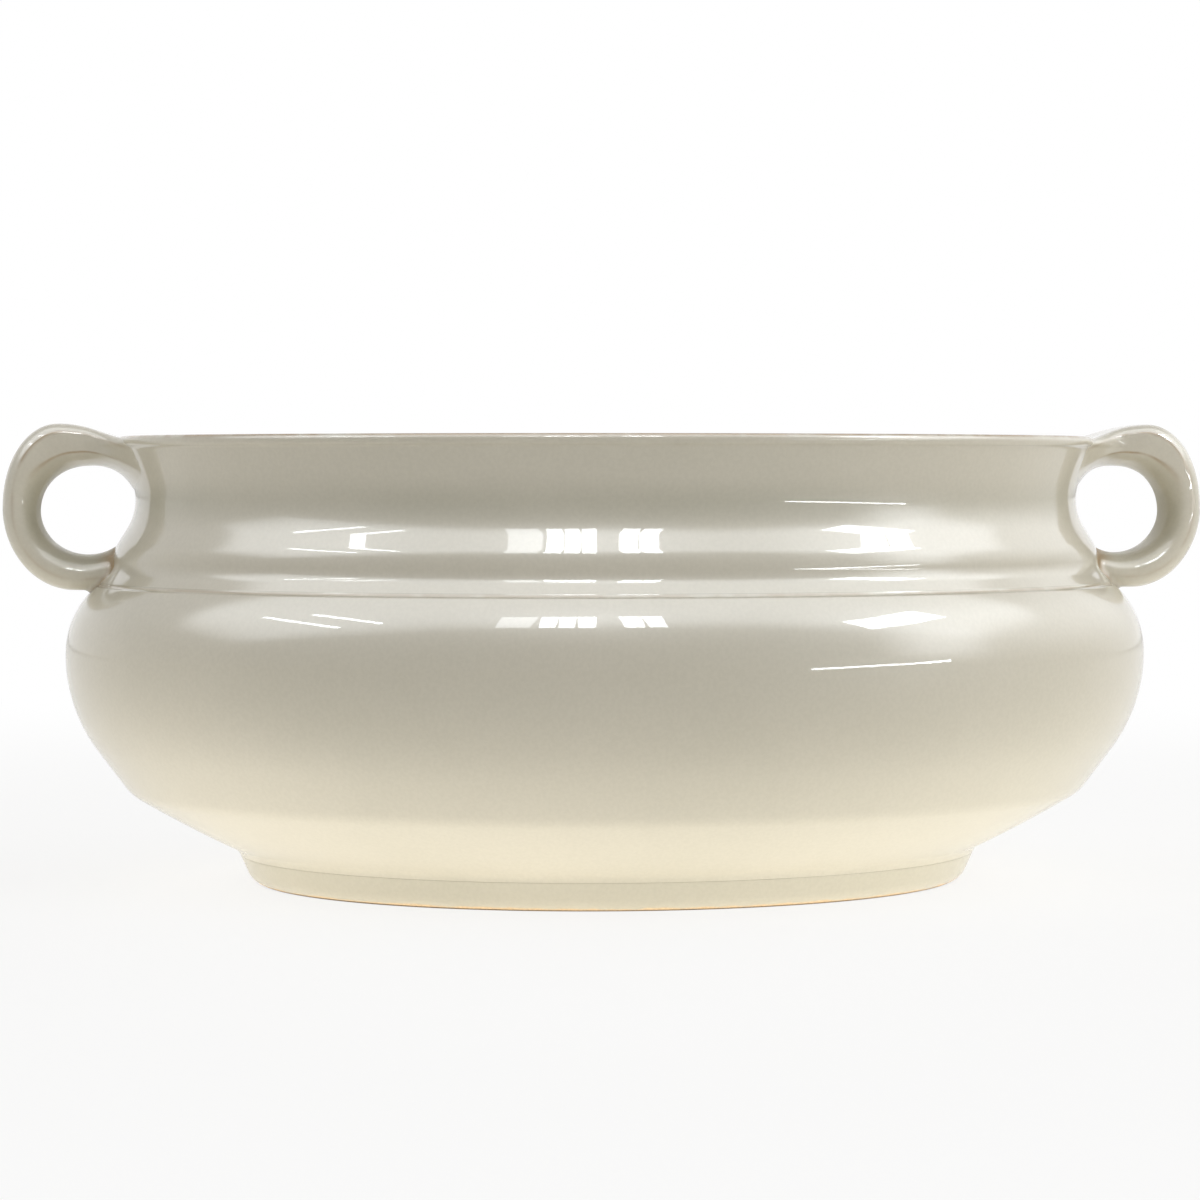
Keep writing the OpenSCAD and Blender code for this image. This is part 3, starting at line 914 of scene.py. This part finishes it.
def ground_group():
    """Bare ground clay at the table, under a glaze."""
    tree, given, result = shader_group(
        "ground clay edge",
        {"Color": "Color", "Roughness": "Float", "Clay": "Color"},
        {"Color": "Color", "Roughness": "Float", "Coat": "Float"},
    )
    place = tree.nodes.new("ShaderNodeTexCoord").outputs["Object"]
    height = node(tree, "ShaderNodeSeparateXYZ", {"Vector": place}).outputs["Z"]
    stray = math_node(tree, "MULTIPLY", noise_node(tree, CLAY_EDGE, 3, place), CLAY_STRAY)
    glazed = step_node(tree, math_node(tree, "SUBTRACT", height, stray), *CLAY_LEVELS)
    speck = mix_node(tree, noise_node(tree, CLAY_GRAIN, 2, place), DARK_CLAY, LIGHT_CLAY)
    clay = mix_node(tree, 1.0, given["Clay"], speck, "MULTIPLY")
    tree.links.new(mix_node(tree, glazed, clay, given["Color"]), result["Color"])
    rough = node(tree, "ShaderNodeMix", {0: glazed, 2: CLAY_ROUGHNESS, 3: given["Roughness"]})
    tree.links.new(rough.outputs[0], result["Roughness"])
    tree.links.new(glazed, result["Coat"])
    return tree


def glaze_material(name, look, dulling=0.0, ground=False):
    """Glossy glaze over clay, with the ground edge of the foot where asked for."""
    material = bpy.data.materials.new(name)
    material.use_nodes = True
    tree = material.node_tree
    shader = tree.nodes["Principled BSDF"]
    glaze = node(tree, "ShaderNodeGroup", node_tree=bpy.data.node_groups["clouded glaze"])
    for label, value in (("Glaze", look.body), ("Pooled", look.pooled_and_shaded), ("Thin", look.thin)):
        glaze.inputs[label].default_value = (*value, 1)
    glaze.inputs["Dulling"].default_value = dulling
    skin = glaze.outputs
    if ground:
        edge = node(tree, "ShaderNodeGroup", node_tree=bpy.data.node_groups["ground clay edge"])
        tree.links.new(skin["Color"], edge.inputs["Color"])
        tree.links.new(skin["Roughness"], edge.inputs["Roughness"])
        edge.inputs["Clay"].default_value = (*look.clay, 1)
        skin = edge.outputs
    tree.links.new(skin["Coat"], shader.inputs["Coat Weight"])
    tree.links.new(skin["Color"], shader.inputs["Base Color"])
    tree.links.new(skin["Roughness"], shader.inputs["Roughness"])
    bump = node(tree, "ShaderNodeBump", {"Height": glaze.outputs["Height"]})
    bump.inputs["Distance"].default_value = look.ripple
    tree.links.new(bump.outputs["Normal"], shader.inputs["Normal"])
    tree.links.new(bump.outputs["Normal"], shader.inputs["Coat Normal"])
    shader.inputs["Coat Roughness"].default_value = look.gloss
    shader.inputs["Coat IOR"].default_value = 1.5
    shader.inputs["IOR"].default_value = 1.45
    return material


# Studio

FLOOR_REACH = 6
FLOOR_ROUGHNESS = 0.7
FLOOR_GLOSS = 0.2
TABLE_LAMP_Z = 0.2 * MM
WATTS = 4  # Power that one square metre of lamp takes for a brightness of 1
MIRRORED_TINT = (0.93, 0.965, 1)
LAMP_TINT = (1, 0.99, 0.97)
TABLE_TINT = (1, 0.97, 0.91)

# Every lamp has its turn, rise, width and height in degrees. Windows and glows only show in the
# glaze. A window goes on with its share of the window light, its panes and its roll, and a glow with
# the share of its size over which it fades out. The other lamps light the pieces and the floor, and
# don't show in the glaze.
WINDOWS = (
    ("near window", -12, 41, 6, 11, 0.3, 1, 0),
    ("middle window", -2.3, 41, 8, 11, 1, 3, 0),
    ("far window", 11.5, 41, 6.2, 11, 1, 2, 0),
    ("right window", 60, 35.5, 19, 8, 1, 4, 20),
    ("low strip", 49, 1, 30, 1.3, 1, 1, 8),
    ("upper left strip", -47, 41, 18, 1.3, 1, 1, -21),
    ("lower left strip", -56, 36, 22, 1.3, 1, 1, -18),
)
GLOWS = (
    ("lit ceiling", "wall_light", 5, 68, 140, 72, 0.25),
    ("lit corner", "corner_light", 62, 16, 30, 33, 0.45),
    ("lit side", "side_light", 88, 24, 60, 48, 0.45),
    ("lit back", "back_light", 120, 26, 50, 52, 0.45),
)
LAMPS = (
    ("key", "key_light", 55, 24, 44, 34),
    ("high key", "high_light", 60, 50, 44, 40),
    ("left fill", "left_light", -55, 30, 44, 34),
    ("left rim", "rim_light", -118, 30, 50, 44),
    ("right rim", "rim_light", 118, 30, 50, 44),
    ("overhead", "overhead_light", 0, 86, 60, 60),
)


def seen_node(tree):
    """One for camera, mirror and glass rays, which are shown a plain white surround."""
    rays = tree.nodes.new("ShaderNodeLightPath").outputs
    seen = math_node(tree, "MAXIMUM", rays["Is Camera Ray"], rays["Is Glossy Ray"])
    return math_node(tree, "MAXIMUM", seen, rays["Is Transmission Ray"])


def plain_world(s):
    """Even room light, with a white backdrop."""
    world = bpy.data.worlds.new("plain studio")
    world.use_nodes = True
    tree = world.node_tree
    tree.nodes.clear()
    seen = seen_node(tree)
    light = node(tree, "ShaderNodeBackground", {"Color": WHITE, "Strength": s.room_light})
    white = node(tree, "ShaderNodeBackground", {"Color": WHITE, "Strength": 1})
    both = node(tree, "ShaderNodeMixShader", {0: seen, 1: light.outputs[0], 2: white.outputs[0]})
    node(tree, "ShaderNodeOutputWorld", {"Surface": both.outputs[0]})
    return world


def floor_material(s):
    """Pale floor that keeps the shadow near the bowl and fades to white further off."""
    material = bpy.data.materials.new("pale floor")
    material.use_nodes = True
    tree = material.node_tree
    shader = tree.nodes["Principled BSDF"]
    shader.inputs["Base Color"].default_value = (*s.floor, 1)
    shader.inputs["Roughness"].default_value = FLOOR_ROUGHNESS
    shader.inputs["Specular IOR Level"].default_value = FLOOR_GLOSS
    place = tree.nodes.new("ShaderNodeTexCoord").outputs["Object"]
    off = node(tree, "ShaderNodeVectorMath", {0: place}, operation="LENGTH").outputs["Value"]
    far = step_node(tree, off, s.white_from, s.white_to)
    near = math_node(tree, "ADD", s.floor_white, math_node(tree, "MULTIPLY", far, 1 - s.floor_white))
    rays = tree.nodes.new("ShaderNodeLightPath").outputs
    mirrored = math_node(tree, "MULTIPLY", rays["Is Glossy Ray"], s.mirrored_white)
    seen = math_node(tree, "MAXIMUM", rays["Is Camera Ray"], mirrored)
    white = node(tree, "ShaderNodeEmission", {"Color": WHITE, "Strength": 1})
    both = node(
        tree, "ShaderNodeMixShader",
        {0: math_node(tree, "MULTIPLY", near, seen), 1: shader.outputs[0], 2: white.outputs[0]},
    )
    tree.links.new(both.outputs[0], tree.nodes["Material Output"].inputs["Surface"])
    return material


def area_lamp(name, wide, tall, light, tint):
    """A rectangular lamp that faces down from the origin, with its sides in metres."""
    lamp = bpy.data.lights.new(name, "AREA")
    lamp.shape = "RECTANGLE"
    lamp.size = wide
    lamp.size_y = tall
    lamp.energy = light * WATTS * lamp.size * lamp.size_y
    lamp.color = tint
    made = bpy.data.objects.new(name, lamp)
    bpy.context.scene.collection.objects.link(made)
    return made


def soft_lamp(name, s, turn, rise, wide, tall, light, roll=0, shows=True):
    """A lamp that either shows in the glaze or only lights the pieces. Angles are in degrees.

    Its turn is to the right of the camera, and its rise is above the bowl's middle.
    """
    sides = [2 * s.window_far * math.tan(math.radians(side) / 2) for side in (wide, tall)]
    made = area_lamp(name, *sides, light, MIRRORED_TINT if shows else LAMP_TINT)
    way = -QUARTER - s.camera_turn + math.radians(turn)
    up = math.radians(rise)
    facing = Euler((QUARTER - up, 0, way + QUARTER)).to_matrix()
    made.location = (
        s.window_far * math.cos(up) * math.cos(way),
        s.window_far * math.cos(up) * math.sin(way),
        s.window_far * math.sin(up) + s.belly_z,
    )
    made.rotation_euler = (facing @ Matrix.Rotation(math.radians(roll), 3, "Z")).to_euler()
    made.visible_diffuse = not shows
    made.visible_glossy = shows
    return made.data


def pale_floor(s):
    """Wide square floor under the bowl."""
    mesh = bpy.data.meshes.new("floor")
    signs = ((-1, -1), (1, -1), (1, 1), (-1, 1))
    mesh.from_pydata([(x * FLOOR_REACH, y * FLOOR_REACH, 0) for x, y in signs], [], [(0, 1, 2, 3)])
    mesh.materials.append(floor_material(s))
    ground = bpy.data.objects.new("floor", mesh)
    bpy.context.scene.collection.objects.link(ground)


def soft_edges(lamp, share):
    """Lets a lamp fade out towards its edges, over this share of its size."""
    lamp.use_nodes = True
    tree = lamp.node_tree
    place = tree.nodes.new("ShaderNodeNewGeometry").outputs["Parametric"]
    parts = node(tree, "ShaderNodeSeparateXYZ", {"Vector": place}).outputs
    fades = []
    for part in (parts["X"], parts["Y"]):
        off = math_node(tree, "ABSOLUTE", math_node(tree, "SUBTRACT", part, 0.5))
        fades.append(step_node(tree, off, 0.5, 0.5 - share))
    tree.links.new(math_node(tree, "MULTIPLY", *fades), tree.nodes["Emission"].inputs["Strength"])


def light_table(s):
    """Lamp that lies on the table round the bowl and lights it softly from below."""
    made = area_lamp("light table", s.table_wide, s.table_deep, s.table_light, TABLE_TINT)
    made.location.z = TABLE_LAMP_Z
    made.rotation_euler.x = math.pi
    made.visible_glossy = False
    made.visible_camera = False


def window(name, s, turn, rise, wide, tall, share, panes, roll):
    """A window of upright panes side by side, with dark bars between them."""
    light = share * s.window_light
    pitch = wide / panes
    lean = math.radians(roll)
    for k in range(panes):
        off = (k - (panes - 1) / 2) * pitch
        across = turn + off * math.cos(lean) / math.cos(math.radians(rise))
        soft_lamp(
            f"{name} pane {k + 1}", s, across, rise + off * math.sin(lean),
            pitch * s.pane_share, tall, light, roll,
        )


def camera(s):
    """Level camera whose shift puts the bowl's axis and the horizon where the picture has them."""
    lens = bpy.data.cameras.new("camera")
    lens.sensor_fit = "HORIZONTAL"
    lens.lens = s.focal_px / s.frame_px * lens.sensor_width
    lens.shift_x = 0.5 - s.axis_px / s.frame_px
    lens.shift_y = s.horizon_px / s.frame_px - 0.5
    lens.clip_start = 10 * MM
    made = bpy.data.objects.new("camera", lens)
    made.location = (
        -s.camera_far * math.sin(s.camera_turn), -s.camera_far * math.cos(s.camera_turn), s.eye_z
    )
    made.rotation_euler = (QUARTER, 0, -s.camera_turn)
    bpy.context.scene.collection.objects.link(made)
    bpy.context.scene.camera = made


# Operators, panel and run

class MakeGlazes(bpy.types.Operator):
    """Mixes the glazes of bowl, foot and handles"""

    bl_idname = "planter.make_glazes"
    bl_label = "Glazes"

    def execute(self, context):
        look = context.scene.planter_glaze
        glaze_group()
        ground_group()
        glaze_material("off-white glaze", look)
        glaze_material("foot glaze", look, ground=True)
        glaze_material("handle glaze", look, dulling=look.dulling)
        return {"FINISHED"}


class MakeBowl(bpy.types.Operator):
    """Turns the bowl with its collar and lip"""

    bl_idname = "planter.make_bowl"
    bl_label = "Bowl"

    def execute(self, context):
        sizes = context.scene.planter_bowl
        form = TurnedForm(sizes)
        line, shares = form.bowl_outline()
        marks = form.marks(line, BOWL_LIP_REACH * sizes.lip_r)
        glaze = bpy.data.materials["off-white glaze"]
        piece = turned_piece("planter_bowl", line, shares, marks, glaze, sizes.steps)
        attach(piece, BODY)
        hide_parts("bowl")
        return {"FINISHED"}


class MakeFoot(bpy.types.Operator):
    """Turns the foot ring with its ground edge"""

    bl_idname = "planter.make_foot"
    bl_label = "Foot ring"

    def execute(self, context):
        sizes = context.scene.planter_bowl
        form = TurnedForm(sizes)
        line = form.foot_outline()
        marks = form.marks(line, sizes.lip_r)
        marks["pool"] = np.maximum(marks["pool"], sizes.foot_pool)
        glaze = bpy.data.materials["foot glaze"]
        piece = turned_piece("foot", line, [form.share] * len(line), marks, glaze, sizes.steps)
        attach(piece, BODY)
        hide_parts("foot_ring")
        return {"FINISHED"}


class MakeHandles(bpy.types.Operator):
    """Pulls the two strap handles and lutes them to lip and shoulder"""

    bl_idname = "planter.make_handles"
    bl_label = "Handles"

    def execute(self, context):
        form = TurnedForm(context.scene.planter_bowl)
        glaze = bpy.data.materials["handle glaze"]
        strap = Strap(context.scene.planter_handles, form)
        for name, side in (("left", -1), ("right", 1)):
            piece = handle_piece("strap_" + name, strap, side, glaze)
            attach(piece, BODY)
            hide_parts("handle_" + name)
        return {"FINISHED"}


class MakeStudio(bpy.types.Operator):
    """Sets up the camera, the floor, the backdrop and the lamps"""

    bl_idname = "planter.make_studio"
    bl_label = "Studio"

    def execute(self, context):
        s = context.scene.planter_studio
        camera(s)
        context.scene.world = plain_world(s)
        pale_floor(s)
        for name, *rest in WINDOWS:
            window(name, s, *rest)
        light_table(s)
        for name, light, *place, edge in GLOWS:
            soft_edges(soft_lamp(name, s, *place, getattr(s, light)), edge)
        for name, light, *place in LAMPS:
            soft_lamp(name, s, *place, getattr(s, light), shows=False)
        context.scene.view_settings.view_transform = "Standard"
        return {"FINISHED"}


class PlanterPanel(bpy.types.Panel):
    """Lists the pieces and their sizes"""

    bl_idname = "VIEW3D_PT_planter"
    bl_label = "Glazed planter bowl"
    bl_space_type = "VIEW_3D"
    bl_region_type = "UI"
    bl_category = "Planter"

    def draw(self, context):
        for operator in OPERATORS:
            self.layout.operator(operator.bl_idname)
        for name in GROUPS:
            box = self.layout.box()
            group = getattr(context.scene, name)
            for key in group.__annotations__:
                box.prop(group, key)


GROUPS = {
    "planter_bowl": BowlSizes,
    "planter_handles": HandleSizes,
    "planter_glaze": GlazeLook,
    "planter_studio": StudioSetup,
}
OPERATORS = (MakeGlazes, MakeBowl, MakeFoot, MakeHandles, MakeStudio)


def register():
    for cls in (*GROUPS.values(), *OPERATORS, PlanterPanel):
        bpy.utils.register_class(cls)
    for name, cls in GROUPS.items():
        setattr(bpy.types.Scene, name, bpy.props.PointerProperty(type=cls))


def unregister():
    for name in GROUPS:
        delattr(bpy.types.Scene, name)
    for cls in reversed((*GROUPS.values(), *OPERATORS, PlanterPanel)):
        bpy.utils.unregister_class(cls)


def main():
    register()
    bpy.ops.planter.make_glazes()
    bpy.ops.planter.make_bowl()
    bpy.ops.planter.make_foot()
    bpy.ops.planter.make_handles()
    bpy.ops.planter.make_studio()


if __name__ == "__main__":
    main()
